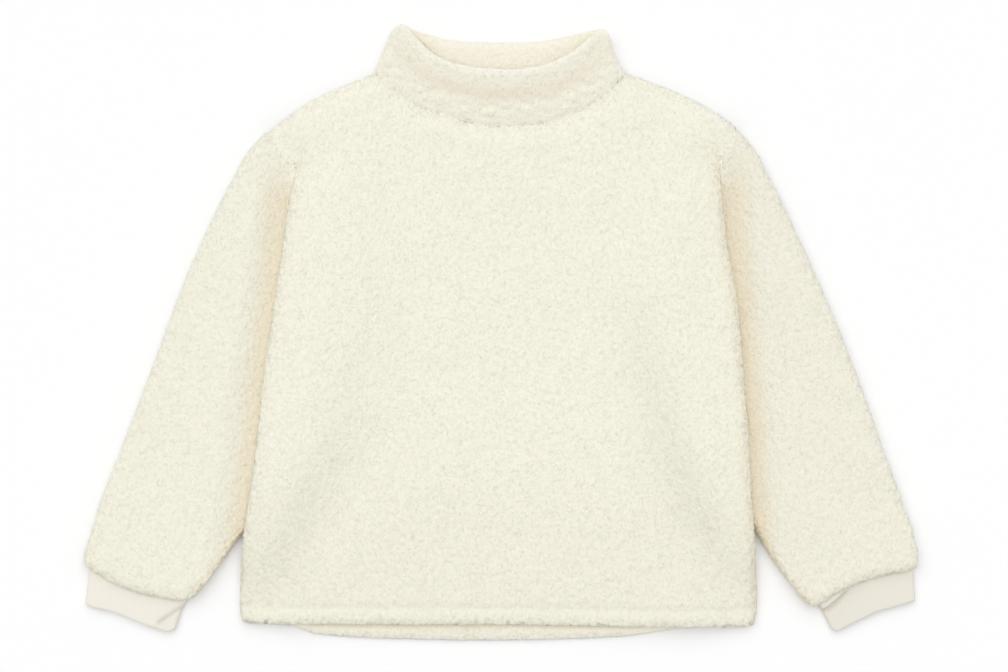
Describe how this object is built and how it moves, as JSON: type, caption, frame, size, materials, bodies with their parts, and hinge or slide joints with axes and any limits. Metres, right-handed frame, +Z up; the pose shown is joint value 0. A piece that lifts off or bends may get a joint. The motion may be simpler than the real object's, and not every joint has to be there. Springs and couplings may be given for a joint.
{
  "type": "pullover",
  "caption": "Child's oversized pullover in cream curly-pile fleece, laid flat, with a funnel collar, long sleeves, plain knitted cuffs and a turned hem.",
  "frame": {"origin": "bottom centre of the pullover's bounding box, on the surface that it lies on", "axes": "+Z up from that surface, +Y from the hem towards the neck, +X to the right of the picture, which is the wearer's left"},
  "size_m": [0.619, 0.4577, 0.0216],
  "materials": {
    "front_fleece": "matt curly-pile fleece",
    "back_fleece": "matt curly-pile fleece",
    "sleeve_fleece": "matt curly-pile fleece",
    "collar_fleece": "matt curly-pile fleece",
    "cuff_knit": "plain fine-ribbed knit"
  },
  "bodies": {
    "root": {"front": "front_fleece", "back": "back_fleece", "sleeve_left": "sleeve_fleece", "sleeve_right": "sleeve_fleece", "collar": "collar_fleece", "cuff_left": "cuff_knit", "cuff_right": "cuff_knit"}
  },
  "joints": []
}
